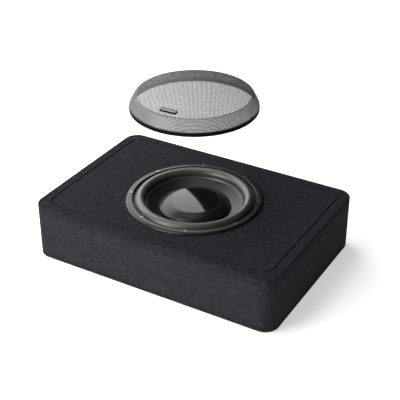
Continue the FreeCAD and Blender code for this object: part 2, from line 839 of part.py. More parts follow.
def make_trim_ring():
    """Ring that covers the basket flange and holds the grille, with screw seats."""
    seat = D.recess_radius - 0.5
    body = revolve("trim_ring", (
        (D.ring_bore, LID - 1.0),
        (seat, LID - 1.0),
        (seat, LID),
        (D.ring_foot, LID),
        (D.ring_foot, LID + 0.7),
        (D.ring_foot - 6.4, LID + D.ring_rise),
        (D.ring_bore + 1.0, LID + D.ring_rise),
        (D.ring_bore, LID + D.ring_rise - 1.0),
    ), {4: (size(11.0), 1)})
    seats = new_sketch(body, lift=LID + D.ring_rise)
    screw_holes(seats, size(SEAT_RADIUS))
    pocket(body, seats, SEAT_DEEP)
    holes = new_sketch(body, lift=LID + D.ring_rise)
    screw_holes(holes, D.driver_screw + SCREW_CLEAR)
    pocket(body, holes, D.ring_rise + 1.0)


def make_trim_screws():
    """Eight socket-head screws through the trim ring, flange and gasket."""
    screws = []
    seat_z = LID + D.ring_rise - SEAT_DEEP
    for number in range(SCREW_COUNT):
        x, y = on_ring(D.screw_circle, number)
        head = rod("trim_head", x, y, seat_z, TRIM_HEAD_RADIUS, TRIM_HEAD_TALL)
        shank = rod("trim_shank", x, y, seat_z - 17.0, D.driver_screw, 17.0)
        socket = doc.addObject("Part::Prism", "trim_socket")
        socket.Polygon = 6
        socket.Circumradius = 1.7
        socket.Height = 3.0
        put(socket, x, y, seat_z + 0.8)
        screws.append(less("trim_screw", joined("trim_blank", [head, shank]), [socket]))
    group("trim_screws", screws)


# ---------------------------------------------------------------- grille

CROWN_STEPS = ((78.0, 1.14), (40.0, 0.3), (0.0, 0.3))


def make_grille():
    """Domed sheet cap on a plastic ring, with a plain badge near its front edge."""
    foot = LID + D.grille_lift
    base = foot + D.grille_ring_tall
    crown = foot + D.grille_crown
    shoulder = crown - 2.5
    thick = D.sheet_thick
    revolve("grille_ring", (
        (D.grille_ring_bore, foot),
        (D.grille_radius, foot),
        (D.grille_radius, base),
        (D.grille_ring_bore, base),
    ))
    skin = D.grille_radius - 0.2
    dome = [(size(radius), crown - fall) for radius, fall in CROWN_STEPS]
    lining = [(size(radius), crown - fall - thick) for radius, fall in reversed(CROWN_STEPS)]
    cap = revolve("grille_cap", [
        (skin, base),
        (skin - 1.0, base + 5.4),
        (skin - 9.4, shoulder - 3.1),
        (skin - 13.7, shoulder),
    ] + dome + lining + [
        (skin - 14.1, shoulder - thick),
        (skin - 10.5, shoulder - 3.8),
        (skin - thick - 1.0, base + 5.1),
        (skin - thick, base),
    ], {2: (size(5.0), 1), 10: (size(4.0), -1)})
    plaque = new_body("badge_blank")
    within_sheet = crown - thick * 2
    sketch = new_sketch(plaque, lift=within_sheet)
    rounded_outline(sketch, D.badge_long, D.badge_wide, size(3.5), 0.0, D.badge_y)
    slab = pad(plaque, sketch, D.badge_rise + thick * 2)
    top = within_sheet.value + D.badge_rise.value + 2 * thick.value
    soften(plaque, "Fillet", slab, edges_at(slab, top), size(0.6))
    less("grille_badge", plaque, [cap])


# ---------------------------------------------------------------- amplifier

PANEL_FACE = LEFT + D.amp_sink - D.plate - 1.0
FLOOR_FRONT = PANEL_FACE + D.tray_deep
FLOOR_BACK = FLOOR_FRONT + D.plate
KNOB_ROW = 72.0
PLUG_ROW = 46.0
KNOBS = (("gain_knob", -4.0), ("lowpass_knob", 22.0), ("boost_knob", 48.0))
SWITCHES = (("phase_lever", 74.0), ("input_lever", 98.0))
LED_Y = -30.0
PHONO_Y = (22.0, 40.0)
PHONO_STEP = 0.5
WIRE_PORT_Y = (-104.0, -88.0, -72.0)
FUSE_Y = (-50.0, -38.0)


def make_amp_panel():
    """Panel with a sunken tray; every control and socket stands on the tray's floor."""
    body = new_body("amp_panel")
    face = new_sketch(body, "YZ_Plane", PANEL_FACE)
    rounded_outline(face, D.amp_long - 1.0, D.amp_tall - 1.0, size(AMP_CORNER - 0.5), 0.0, D.amp_mid)
    pad(body, face, D.plate)
    tray = new_sketch(body, "YZ_Plane", PANEL_FACE)
    rounded_outline(tray, D.tray_long, D.tray_tall, size(TRAY_CORNER - 1.0), 0.0, D.amp_mid)
    pad(body, tray, D.tray_deep + D.plate)
    hollow = new_sketch(body, "YZ_Plane", PANEL_FACE)
    inner_long = D.tray_long - D.plate * 2
    inner_tall = D.tray_tall - D.plate * 2
    rounded_outline(hollow, inner_long, inner_tall, size(3.0), 0.0, D.amp_mid)
    pocket(body, hollow, D.tray_deep, along_normal=True)
    holes = new_sketch(body, "YZ_Plane", FLOOR_FRONT)
    for _, y in KNOBS:
        circle(holes, y, KNOB_ROW, D.spindle_radius + 1.0)
    for y in PHONO_Y:
        circle(holes, y, PLUG_ROW, D.rca_radius + PHONO_STEP)
    circle(holes, LED_Y, KNOB_ROW, 2.5)
    pocket(body, holes, D.plate, along_normal=True)
    screws = new_sketch(body, "YZ_Plane", PANEL_FACE)
    for y, z in panel_screw_places():
        circle(screws, y, z, size(1.9))
    pocket(body, screws, D.plate, along_normal=True)


def panel_screw_places():
    """Five screws along the top margin of the panel and five along the bottom."""
    rise = (D.amp_tall + D.tray_tall) / 4 - 0.5
    return [(y, D.amp_mid + side * rise) for side in (-1, 1) for y in (-122.0, -61.0, 0.0, 61.0, 122.0)]


def make_amp_fixings():
    """Foam gasket behind the panel's margin, and the panel's screws."""
    body = new_body("amp_gasket")
    ring = new_sketch(body, "YZ_Plane", PANEL_FACE + D.plate)
    rounded_outline(ring, D.amp_long - 2.0, D.amp_tall - 2.0, size(AMP_CORNER - 1.0), 0.0, D.amp_mid)
    rounded_outline(ring, WINDOW_LONG, WINDOW_TALL, size(TRAY_CORNER), 0.0, D.amp_mid)
    for y, z in panel_screw_places():
        circle(ring, y, z, size(1.9))
    pad(body, ring, 1.0)
    screws = []
    for y, z in panel_screw_places():
        head = rod("panel_head", PANEL_FACE - 1.8, y, z, 3.0, 1.8, ALONG_X)
        shank = rod("panel_shank", PANEL_FACE, y, z, 1.7, D.plate + 1.0, ALONG_X)
        slot = block("panel_slot", PANEL_FACE - 1.8, y - 0.35, z - 2.0, 0.9, 0.7, 4.0)
        cross = block("panel_cross", PANEL_FACE - 1.8, y - 2.0, z - 0.35, 0.9, 4.0, 0.7)
        blank = joined("panel_blank", [head, shank])
        screws.append(less("panel_screw", blank, [slot, cross]))
    group("amp_panel_screws", screws)


def make_amp_inside():
    """Sealed inner housing with the board, coolers, transformer and capacitors."""
    deep = 57.0
    outer = block("housing_outer", FLOOR_BACK, -112.0, D.amp_mid - 27.0, deep, 224.0, 54.0)
    inner = block("housing_inner", FLOOR_BACK, -110.0, D.amp_mid - 25.0, deep - 2.0, 220.0, 50.0)
    port = rod("housing_port", FLOOR_BACK, LEAD_Y, LEAD_Z, LEAD_BORE, deep, ALONG_X)
    less("amp_housing", outer, [inner, port])
    board_x = FLOOR_BACK + 16.0
    board_back = board_x + 1.6
    block("amp_board", board_x, -108.0, D.amp_mid - 23.0, 1.6, 216.0, 46.0)
    end = FLOOR_BACK + deep - 2.0
    base = block("cooler_base", end - 3.0, -105.0, D.amp_mid + 2.0, 3.0, 90.0, 21.0)
    fins = [
        block("cooler_fin", end - 10.0, -105.0 + step * 11.0, D.amp_mid + 2.0, 7.0, 2.0, 21.0)
        for step in range(9)
    ]
    joined("heatsink", [base] + fins)
    group("power_transistors", [
        block("transistor", end - 3.0, y, D.amp_mid - 15.0, 3.0, 10.0, 15.0)
        for y in (-98.0, -78.0, -58.0, -38.0)
    ])
    ring = doc.addObject("Part::Torus", "transformer")
    ring.Radius1 = 14.5
    ring.Radius2 = 6.5
    put(ring, board_back + 6.5, 8.0, D.amp_mid, ALONG_X)
    label(ring, "transformer")
    group("capacitors", [
        rod("capacitor", board_back, y, D.amp_mid + z, 8.0, 26.0, ALONG_X)
        for y in (62.0, 82.0) for z in (-11.0, 11.0)
    ])


MODULE_DEEP = 13.0
MODULE_WIDE = 15.8
CLAMP_ROW = 53.0


def make_power_inputs():
    """Screw terminal modules for the supply wires, and the fuse holder with its fuses."""
    block_front = FLOOR_FRONT - MODULE_DEEP
    modules = []
    screws = []
    for y in WIRE_PORT_Y:
        shell = block(
            "terminal_shell", block_front, y - MODULE_WIDE / 2, 34.0, MODULE_DEEP, MODULE_WIDE, 26.0
        )
        port = rod("terminal_port", block_front, y, 42.0, D.wire_port, D.wire_port_deep, ALONG_X)
        well = rod("terminal_well", block_front, y, CLAMP_ROW, 3.6, 6.0, ALONG_X)
        modules.append(less("terminal_module", shell, [port, well]))
        head = rod("clamp_head", block_front + 1.0, y, CLAMP_ROW, 3.3, 5.0, ALONG_X)
        slot = block("clamp_slot", block_front + 1.0, y - 0.5, CLAMP_ROW - 4.0, 1.4, 1.0, 8.0)
        screws.append(less("clamp_screw", head, [slot]))
    group("power_terminal_block", modules)
    group("terminal_screws", screws)
    holder = block("fuse_shell", FLOOR_FRONT - 7.0, -56.0, 34.0, 7.0, 24.0, 24.0)
    slots = [block("fuse_slot", FLOOR_FRONT - 7.0, y - 2.7, 36.3, 4.5, 5.4, 19.4) for y in FUSE_Y]
    less("fuse_holder", holder, slots)
    group("fuses", [
        block("fuse", FLOOR_FRONT - 13.0, y - 2.5, 36.5, 10.0, 5.0, 19.0) for y in FUSE_Y
    ])


def make_signal_inputs():
    """Phono sockets, the speaker-level socket with its pins, and the remote port."""
    jacks = []
    cores = []
    for y in PHONO_Y:
        start = FLOOR_FRONT - D.rca_long
        barrel = rod("phono_barrel", start, y, PLUG_ROW, D.rca_radius, D.rca_long, ALONG_X)
        thick_radius = D.rca_radius + PHONO_STEP
        collar = rod("phono_collar", FLOOR_FRONT, y, PLUG_ROW, thick_radius, D.plate, ALONG_X)
        rear = block("phono_rear", FLOOR_BACK, y - 7.0, PLUG_ROW - 7.0, 14.0, 14.0, 14.0)
        bore = rod("phono_bore", start, y, PLUG_ROW, 3.3, D.rca_long, ALONG_X)
        jacks.append(less("phono_jack", joined("phono_blank", [barrel, collar, rear]), [bore]))
        core = rod("core_blank", start + 0.4, y, PLUG_ROW, 3.3, D.rca_long - 0.4, ALONG_X)
        hole = rod("core_hole", start, y, PLUG_ROW, 1.6, D.rca_long - 1.0, ALONG_X)
        cores.append(less("phono_core", core, [hole]))
    group("phono_jacks", jacks)
    group("phono_cores", cores)
    front = FLOOR_FRONT - 11.0
    shell = block("socket_shell", front, -20.0, PLUG_ROW - 8.0, 11.0, 24.0, 16.0)
    well = block("socket_well", front, -18.0, PLUG_ROW - 6.0, 9.5, 20.0, 12.0)
    less("speaker_input_socket", shell, [well])
    group("socket_pins", [
        rod("socket_pin", FLOOR_FRONT - 6.5, y, PLUG_ROW, 0.9, 5.0, ALONG_X)
        for y in (-15.5, -10.5, -5.5, -0.5)
    ])
    shell = block("remote_shell", front, 60.0, PLUG_ROW - 8.0, 11.0, 17.0, 16.0)
    well = block("remote_well", front, 62.5, PLUG_ROW - 4.5, 9.5, 12.0, 9.0)
    notch = block("remote_notch", front, 65.5, PLUG_ROW + 4.5, 6.0, 6.0, 2.0)
    less("remote_port", shell, [well, notch])


def make_controls():
    """Knobs on their controls, slide switches and the power light."""
    pots = []
    knob_start = FLOOR_FRONT - 0.8 - D.knob_long
    for name, y in KNOBS:
        case = block("control_case", FLOOR_BACK, y - 6.0, KNOB_ROW - 6.0, 9.0, 12.0, 12.0)
        bore = rod(
            "control_bore", FLOOR_BACK, y, KNOB_ROW, D.spindle_radius + D.spindle_fit, 6.0, ALONG_X
        )
        pots.append(less("control", case, [bore]))
        grip = rod(name + "_grip", knob_start, y, KNOB_ROW, D.knob_radius, D.knob_long, ALONG_X)
        spindle = rod(
            name + "_spindle", knob_start, y, KNOB_ROW, D.spindle_radius, D.knob_long + 8.0, ALONG_X
        )
        line = block(name + "_line", knob_start, y - 0.5, KNOB_ROW + 1.0, 1.0, 1.0, 7.0)
        ribs = []
        for number in range(12):
            rib_y, rib_z = on_ring(D.knob_radius + 0.3, number, 12, 15.0)
            ribs.append(
                rod(name + "_flute", knob_start - 1.0, rib_y + y, rib_z + KNOB_ROW, 0.9, 8.0, ALONG_X)
            )
        less(name, joined(name + "_blank", [grip, spindle]), [line] + ribs)
    group("controls", pots)
    frames = []
    frame_front = FLOOR_FRONT - 3.0
    for name, y in SWITCHES:
        case = block("switch_case", frame_front, y - 8.0, KNOB_ROW - 4.5, 3.0, 16.0, 9.0)
        slot = block("switch_slot", frame_front, y - 4.6, KNOB_ROW - 1.9, 2.2, 9.2, 3.8)
        frames.append(less("switch_frame", case, [slot]))
        block(name, frame_front - 3.2, y - 2.2, KNOB_ROW - 1.5, 5.0, 4.4, 3.0)
    group("switch_frames", frames)
    dome = doc.addObject("Part::Sphere", "led_dome")
    bind(dome, Radius=size(2.5))
    put(dome, FLOOR_FRONT - 2.0, LED_Y, KNOB_ROW)
    stem = rod("led_stem", FLOOR_FRONT - 2.0, LED_Y, KNOB_ROW, 2.5, D.plate + 4.0, ALONG_X)
    joined("power_led", [dome, stem])


NODES = (
    "bottom_panel", "front_wall", "back_wall", "right_wall", "left_wall", "corner_posts",
    "top_frame", "baffle_panel", "ledge_strips", "brace_board", "amp_bulkhead", "wire_grommet",
    "tie_bolts", "threaded_inserts",
    "driver_gasket", "basket", "surround", "cone", "dust_cap", "dust_cap_disc",
    "voice_coil_former", "voice_coil", "spider", "top_plate", "magnet", "back_plate",
    "terminal_strip", "tinsel_leads", "speaker_leads", "trim_ring", "trim_screws",
    "grille_ring", "grille_cap", "grille_badge",
    "amp_panel", "amp_gasket", "amp_panel_screws", "amp_housing", "amp_board", "heatsink",
    "power_transistors", "transformer", "capacitors", "power_terminal_block", "terminal_screws",
    "fuse_holder", "fuses", "phono_jacks", "phono_cores", "speaker_input_socket", "socket_pins",
    "remote_port", "controls", "gain_knob", "lowpass_knob", "boost_knob", "switch_frames",
    "phase_lever", "input_lever", "power_led",
)


def check_and_export():
    """Refuse a failed object or an empty shape, then write one file per node."""
    doc.recompute()
    for item in doc.Objects:
        if "Invalid" in item.State or "Error" in item.State:
            raise ValueError("%s has failed: %s" % (item.Label, item.State))
    os.makedirs("parts", exist_ok=True)
    for name in NODES:
        found = [item for item in doc.Objects if item.Label == name]
        if len(found) != 1:
            raise ValueError("%s is the label of %d objects" % (name, len(found)))
        shape = found[0].Shape
        if shape.isNull() or not shape.isValid() or not shape.Solids:
            raise ValueError("%s has no valid solid" % name)
        shape.exportStep("parts/%s.step" % name)
        print("%-22s %2d solid(s) %12.1f mm3" % (name, len(shape.Solids), shape.Volume))


make_bottom_panel()
make_walls()
make_corner_posts()
make_top_frame()
make_baffle_panel()
make_ledge_strips()
make_inner_boards()
make_cabinet_hardware()
make_driver_gasket()
make_basket()
make_surround()
make_moving_cone()
make_spider()
make_motor()
make_driver_wiring()
make_trim_ring()
make_trim_screws()
make_grille()
make_amp_panel()
make_amp_fixings()
make_amp_inside()
make_power_inputs()
make_signal_inputs()
make_controls()
check_and_export()
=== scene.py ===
import math

import bmesh
import bpy
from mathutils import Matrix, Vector


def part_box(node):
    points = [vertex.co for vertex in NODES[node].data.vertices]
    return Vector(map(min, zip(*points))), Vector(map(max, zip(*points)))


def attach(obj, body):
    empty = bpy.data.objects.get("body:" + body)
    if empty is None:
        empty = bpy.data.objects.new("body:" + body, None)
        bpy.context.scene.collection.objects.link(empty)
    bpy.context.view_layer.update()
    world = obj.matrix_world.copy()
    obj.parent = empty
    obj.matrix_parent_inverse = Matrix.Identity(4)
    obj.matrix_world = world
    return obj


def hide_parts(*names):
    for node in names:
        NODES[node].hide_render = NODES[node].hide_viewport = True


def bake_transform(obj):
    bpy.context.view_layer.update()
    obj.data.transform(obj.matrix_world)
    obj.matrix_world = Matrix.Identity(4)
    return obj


# Looks of a powered car subwoofer. The driver's axis is Z through the origin. Sizes written
# in millimetres are turned into metres by MM.
MM = 0.001
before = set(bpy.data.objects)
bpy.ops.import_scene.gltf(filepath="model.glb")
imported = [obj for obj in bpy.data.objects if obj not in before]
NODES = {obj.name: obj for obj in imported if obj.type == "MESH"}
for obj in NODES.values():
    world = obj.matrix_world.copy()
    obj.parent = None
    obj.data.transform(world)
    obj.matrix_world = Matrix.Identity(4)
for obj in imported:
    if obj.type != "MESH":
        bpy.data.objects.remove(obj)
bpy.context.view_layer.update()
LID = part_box("top_frame")[1].z / MM

# ---- surfaces -------------------------------------------------------------------------------

# slot: colour, roughness, metallic, specular, pattern, cells per metre, depth in mm, wear
SURFACES = {
    "coated_board": ((0.0255, 0.0252, 0.0305), 0.90, 0.0, 0.01, "pebble", 430.0, 0.40, 0.08),
    "raw_board": ((0.38, 0.27, 0.16), 0.85, 0.0, 0.30, "grain", 900.0, 0.05, 0.10),
    "black_steel": ((0.20, 0.20, 0.21), 0.28, 0.9, 0.50, "grain", 1500.0, 0.02, 0.45),
    "dark_steel": ((0.012, 0.012, 0.013), 0.45, 0.3, 0.40, "grain", 1500.0, 0.02, 0.20),
    "brass": ((0.72, 0.48, 0.18), 0.28, 1.0, 0.50, "grain", 1800.0, 0.01, 0.20),
    "foam": ((0.018, 0.018, 0.018), 0.95, 0.0, 0.20, "pebble", 1400.0, 0.20, 0.00),
    "basket_steel": ((0.010, 0.010, 0.011), 0.65, 0.0, 0.20, "grain", 900.0, 0.03, 0.30),
    "surround_rubber": ((0.050, 0.050, 0.053), 0.38, 0.0, 0.85, "grain", 2600.0, 0.006, 0.00),
    "cone_pulp": ((0.005, 0.005, 0.006), 0.38, 0.0, 0.35, "spun", 900.0, 0.03, 0.00),
    "cap_satin": ((0.008, 0.008, 0.009), 0.28, 0.0, 0.42, "grain", 2200.0, 0.006, 0.00),
    "cap_gloss": ((0.004, 0.004, 0.005), 0.06, 0.0, 0.45, "grain", 300.0, 0.001, 0.00),
    "former_alu": ((0.72, 0.72, 0.73), 0.30, 1.0, 0.50, "grain", 1200.0, 0.01, 0.10),
    "copper": ((0.80, 0.36, 0.18), 0.30, 1.0, 0.50, "grain", 1500.0, 0.02, 0.10),
    "spider_cloth": ((0.50, 0.34, 0.12), 0.80, 0.0, 0.30, "pebble", 1600.0, 0.10, 0.05),
    "zinc_steel": ((0.58, 0.58, 0.56), 0.36, 1.0, 0.50, "grain", 700.0, 0.02, 0.20),
    "ferrite": ((0.045, 0.045, 0.048), 0.60, 0.1, 0.50, "grain", 1200.0, 0.04, 0.20),
    "strip_board": ((0.26, 0.16, 0.07), 0.55, 0.0, 0.50, "grain", 1100.0, 0.02, 0.10),
    "braid": ((0.68, 0.40, 0.24), 0.38, 1.0, 0.50, "pebble", 1800.0, 0.08, 0.10),
    "lead_jacket": ((0.030, 0.030, 0.032), 0.48, 0.0, 0.45, "grain", 900.0, 0.02, 0.05),
    "trim_plastic": ((0.009, 0.009, 0.010), 0.27, 0.0, 0.38, "grain", 1500.0, 0.008, 0.00),
    "ring_plastic": ((0.004, 0.004, 0.005), 0.75, 0.0, 0.04, "grain", 1500.0, 0.012, 0.00),
    "grille_sheet": ((0.072, 0.072, 0.075), 0.44, 0.45, 0.50, "grain", 1700.0, 0.012, 0.10),
    "badge_chrome": ((0.20, 0.20, 0.205), 0.42, 0.8, 0.50, "grain", 900.0, 0.003, 0.00),
    "panel_coat": ((0.018, 0.018, 0.020), 0.50, 0.0, 0.40, "pebble", 1500.0, 0.05, 0.25),
    "housing_alu": ((0.52, 0.52, 0.53), 0.42, 1.0, 0.50, "grain", 600.0, 0.02, 0.20),
    "board_green": ((0.015, 0.12, 0.05), 0.42, 0.0, 0.50, "grain", 900.0, 0.02, 0.10),
    "heatsink_alu": ((0.05, 0.05, 0.055), 0.42, 0.8, 0.50, "grain", 700.0, 0.02, 0.30),
    "chip_epoxy": ((0.016, 0.016, 0.016), 0.55, 0.0, 0.45, "grain", 1800.0, 0.01, 0.10),
    "winding": ((0.60, 0.25, 0.09), 0.35, 0.4, 0.50, "pebble", 1200.0, 0.12, 0.10),
    "capacitor_sleeve": ((0.018, 0.022, 0.060), 0.32, 0.0, 0.50, "grain", 900.0, 0.01, 0.10),
    "black_plastic": ((0.017, 0.017, 0.018), 0.45, 0.0, 0.45, "grain", 1400.0, 0.02, 0.20),
    "bright_screw": ((0.62, 0.62, 0.60), 0.25, 1.0, 0.50, "grain", 1400.0, 0.008, 0.15),
    "fuse_body": ((0.62, 0.16, 0.02), 0.22, 0.0, 0.55, "grain", 500.0, 0.004, 0.05),
    "phono_shell": ((0.74, 0.73, 0.70), 0.20, 1.0, 0.50, "grain", 900.0, 0.005, 0.10),
    "phono_core": ((0.55, 0.03, 0.02), 0.40, 0.0, 0.50, "grain", 1200.0, 0.01, 0.05),
    "knob_plastic": ((0.022, 0.022, 0.023), 0.48, 0.0, 0.45, "grain", 1600.0, 0.015, 0.35),
    "lever_plastic": ((0.62, 0.62, 0.60), 0.45, 0.0, 0.50, "grain", 1200.0, 0.010, 0.10),
    "led_lens": ((0.04, 0.16, 0.60), 0.12, 0.0, 0.60, "grain", 400.0, 0.002, 0.00),
}


def mixed(tree, blend, factor, first, second):
    """Mix node over two colours; factor is a socket or a number."""
    node = tree.nodes.new("ShaderNodeMix")
    node.data_type = "RGBA"
    node.blend_type = blend
    if isinstance(factor, float):
        node.inputs["Factor"].default_value = factor
    else:
        tree.links.new(factor, node.inputs["Factor"])
    for slot, value in (("A", first), ("B", second)):
        socket = [item for item in node.inputs if item.name == slot and item.type == "RGBA"][0]
        if isinstance(value, tuple):
            socket.default_value = (*value, 1.0)
        else:
            tree.links.new(value, socket)
    return [item for item in node.outputs if item.type == "RGBA"][0]


def ranged(tree, source, low, high, out_low, out_high):
    """Map a value from low..high to out_low..out_high, clamped."""
    node = tree.nodes.new("ShaderNodeMapRange")
    tree.links.new(source, node.inputs["Value"])
    for name, value in (("From Min", low), ("From Max", high), ("To Min", out_low), ("To Max", out_high)):
        node.inputs[name].default_value = value
    return node.outputs["Result"]


def noise(tree, coords, scale, detail):
    """Plain noise over object coordinates."""
    node = tree.nodes.new("ShaderNodeTexNoise")
    node.inputs["Scale"].default_value = scale
    node.inputs["Detail"].default_value = detail
    tree.links.new(coords, node.inputs["Vector"])
    return node.outputs["Fac"]


def relief(tree, coords, pattern, cells):
    """Height of the surface's fine pattern: pebbles, spun rings or plain grain."""
    if pattern == "pebble":
        node = tree.nodes.new("ShaderNodeTexVoronoi")
        node.feature = "SMOOTH_F1"
        node.inputs["Scale"].default_value = cells
        node.inputs["Smoothness"].default_value = 0.6
        tree.links.new(coords, node.inputs["Vector"])
        pebbles = ranged(tree, node.outputs["Distance"], 0.0, 0.8, 0.7, 0.0)
        total = tree.nodes.new("ShaderNodeMath")
        total.operation = "ADD"
        tree.links.new(pebbles, total.inputs[0])
        lumps = ranged(tree, noise(tree, coords, cells * 0.4, 2.0), 0.3, 0.7, 0.0, 0.45)
        tree.links.new(lumps, total.inputs[1])
        return total.outputs["Value"]
    if pattern == "spun":
        node = tree.nodes.new("ShaderNodeTexWave")
        node.wave_type = "RINGS"
        node.rings_direction = "Z"
        node.inputs["Scale"].default_value = cells / 8.0
        node.inputs["Distortion"].default_value = 1.2
        node.inputs["Detail"].default_value = 3.0
        tree.links.new(coords, node.inputs["Vector"])
        return node.outputs["Fac"]
    return noise(tree, coords, cells, 4.0)


def surface(name, colour, rough, metallic, specular, pattern, cells, depth, wear):
    """A procedural finish: speckled colour, uneven roughness, a fine bump and worn edges."""
    material = bpy.data.materials.new("finish_" + name)
    material.use_nodes = True
    tree = material.node_tree
    shader = tree.nodes["Principled BSDF"]
    coords = tree.nodes.new("ShaderNodeTexCoord").outputs["Object"]
    height = relief(tree, coords, pattern, cells)
    broad = noise(tree, coords, 14.0, 3.0)
    dark = tuple(0.62 * part for part in colour)
    light = tuple(1.35 * part + 0.002 for part in colour)
    worn = tuple(0.55 * part + 0.10 for part in colour)
    fleck = ranged(tree, height, 0.25, 0.85, 0.0, 1.0)
    base = mixed(tree, "MIX", fleck, dark, light)
    base = mixed(tree, "MULTIPLY", 0.25, base, mixed(tree, "MIX", broad, (0.7, 0.7, 0.7), (1.0, 1.0, 1.0)))
    if wear:
        geometry = tree.nodes.new("ShaderNodeNewGeometry")
        edge = ranged(tree, geometry.outputs["Pointiness"], 0.54, 0.66, 0.0, wear)
        base = mixed(tree, "MIX", edge, base, worn)
    tree.links.new(base, shader.inputs["Base Color"])
    roughness = ranged(tree, broad, 0.3, 0.7, rough * 0.96, min(rough * 1.05, 1.0))
    tree.links.new(roughness, shader.inputs["Roughness"])
    shader.inputs["Metallic"].default_value = metallic
    shine = ranged(tree, fleck, 0.0, 1.0, specular * 0.7, specular * 1.2)
    tree.links.new(shine, shader.inputs["Specular IOR Level"])
    bump = tree.nodes.new("ShaderNodeBump")
    bump.inputs["Strength"].default_value = 1.0
    bump.inputs["Distance"].default_value = depth * MM
    tree.links.new(height, bump.inputs["Height"])
    tree.links.new(bump.outputs["Normal"], shader.inputs["Normal"])
    return material


FINISHES = {name: surface(name, *values) for name, values in SURFACES.items()}
GLOW = FINISHES["led_lens"].node_tree.nodes["Principled BSDF"]
GLOW.inputs["Emission Color"].default_value = (0.05, 0.25, 1.0, 1.0)
GLOW.inputs["Emission Strength"].default_value = 0.6

for node in NODES.values():
    for slot in node.material_slots:
        slot.material = FINISHES[slot.material.name]
NODES["tie_bolts"].material_slots[0].material = FINISHES["dark_steel"]

# ---- helpers for pieces ---------------------------------------------------------------------


def add_piece(name, verts, faces, finish, crease=35.0):
    """A mesh object in millimetres with smooth shading and sharp creases."""
    mesh = bpy.data.meshes.new(name)
    mesh.from_pydata([Vector(point) * MM for point in verts], [], faces)
    work = bmesh.new()
    work.from_mesh(mesh)
    bmesh.ops.remove_doubles(work, verts=work.verts, dist=0.002 * MM)
    bmesh.ops.recalc_face_normals(work, faces=work.faces)
    work.to_mesh(mesh)
    work.free()
    mesh.polygons.foreach_set("use_smooth", [True] * len(mesh.polygons))
    mesh.set_sharp_from_angle(angle=math.radians(crease))
    mesh.materials.append(FINISHES[finish])
    piece = bpy.data.objects.new(name, mesh)
    bpy.context.scene.collection.objects.link(piece)
    return piece


def turned(profile, steps, start=0.0, sweep=360.0):
    """Vertices and faces of a closed (radius, height) outline turned about the Z axis."""
    full = sweep >= 360.0
    count = len(profile)
    verts = []
    faces = []
    for step in range(steps if full else steps + 1):
        angle = math.radians(start + sweep * step / steps)
        verts += [(radius * math.cos(angle), radius * math.sin(angle), z) for radius, z in profile]
    for step in range(steps):
        here = step * count
        there = (step + 1) * count % len(verts) if full else here + count
        for corner in range(count):
            after = (corner + 1) % count
            faces.append((here + corner, there + corner, there + after, here + after))
    if not full:
        faces.append(tuple(range(count)))
        faces.append(tuple(range(steps * count + count - 1, steps * count - 1, -1)))
    return verts, faces


def arc(middle, radius, start, end, count):
    """Points along an arc in the (radius, height) plane; angles in degrees."""
    points = []
    for step in range(count + 1):
        angle = math.radians(start + (end - start) * step / count)
        points.append((middle[0] + radius * math.cos(angle), middle[1] + radius * math.sin(angle)))
    return points


def eased(points, passes=2):
    """Round the corners of an open line by cutting them, keeping its ends."""
    for _ in range(passes):
        smoother = [points[0]]
        for (r1, z1), (r2, z2) in zip(points, points[1:]):
            smoother.append((r1 * 0.75 + r2 * 0.25, z1 * 0.75 + z2 * 0.25))
            smoother.append((r1 * 0.25 + r2 * 0.75, z1 * 0.25 + z2 * 0.75))
        smoother.append(points[-1])
        points = smoother
    return points


def sheet(line, thick):
    """A closed outline: the line, and the same line moved down its normals by thick."""
    below = []
    for spot, (radius, z) in enumerate(line):
        before = line[max(spot - 1, 0)]
        after = line[min(spot + 1, len(line) - 1)]
        run = (after[0] - before[0], after[1] - before[1])
        length = math.hypot(*run)
        side = (run[1] / length * thick, -run[0] / length * thick)
        below.append((radius + side[0], z + side[1]))
    return list(line) + below[::-1]


def rounded_loop(long, wide, radius, z, centre, count=6):
    """Corner-rounded rectangle as a loop of points."""
    loop = []
    for number, (sx, sy) in enumerate(((1, 1), (-1, 1), (-1, -1), (1, -1))):
        for step in range(count + 1):
            angle = math.radians(90.0 * number + 90.0 * step / count)
            loop.append((centre[0] + sx * (long / 2 - radius) + radius * math.cos(angle),
                         centre[1] + sy * (wide / 2 - radius) + radius * math.sin(angle), z))
    return loop


def stacked(loops):
    """Vertices and faces of a solid that steps from loop to loop, closed at both ends."""
    verts = [point for loop in loops for point in loop]
    count = len(loops[0])
    faces = [tuple(range(count - 1, -1, -1)), tuple(range(len(verts) - count, len(verts)))]
    for level in range(len(loops) - 1):
        here = level * count
        for k in range(count):
            after = (k + 1) % count
            faces.append((here + k, here + after, here + count + after, here + count + k))
    return verts, faces


# ---- driver ---------------------------------------------------------------------------------

ROLL_MIDDLE = 114.2
ROLL_RADIUS = 11.1
ROLL_SECTORS = 24
SECTOR_STEPS = 14
ROUND_STEPS = 360
SPIDER_FOLDS = 6
SPIDER_SWING = 1.7
SPIDER_INSIDE = 35.5
SPIDER_OUTSIDE = 80.5
LEAD_RADIUS = 0.8
LEAD_SIDES = 12
CAP_EDGE = 75.5
DISC_EDGE = 51.0


def bending_ring(node, outline, finish):
    """A turned outline cut into sectors, each made a piece of its own."""
    wide = 360.0 / ROLL_SECTORS
    for sector in range(ROLL_SECTORS):
        verts, faces = turned(outline, SECTOR_STEPS, sector * wide, wide)
        piece = add_piece("%s_%02d" % (node, sector), verts, faces, finish, 50.0)
        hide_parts(node)
        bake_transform(piece)


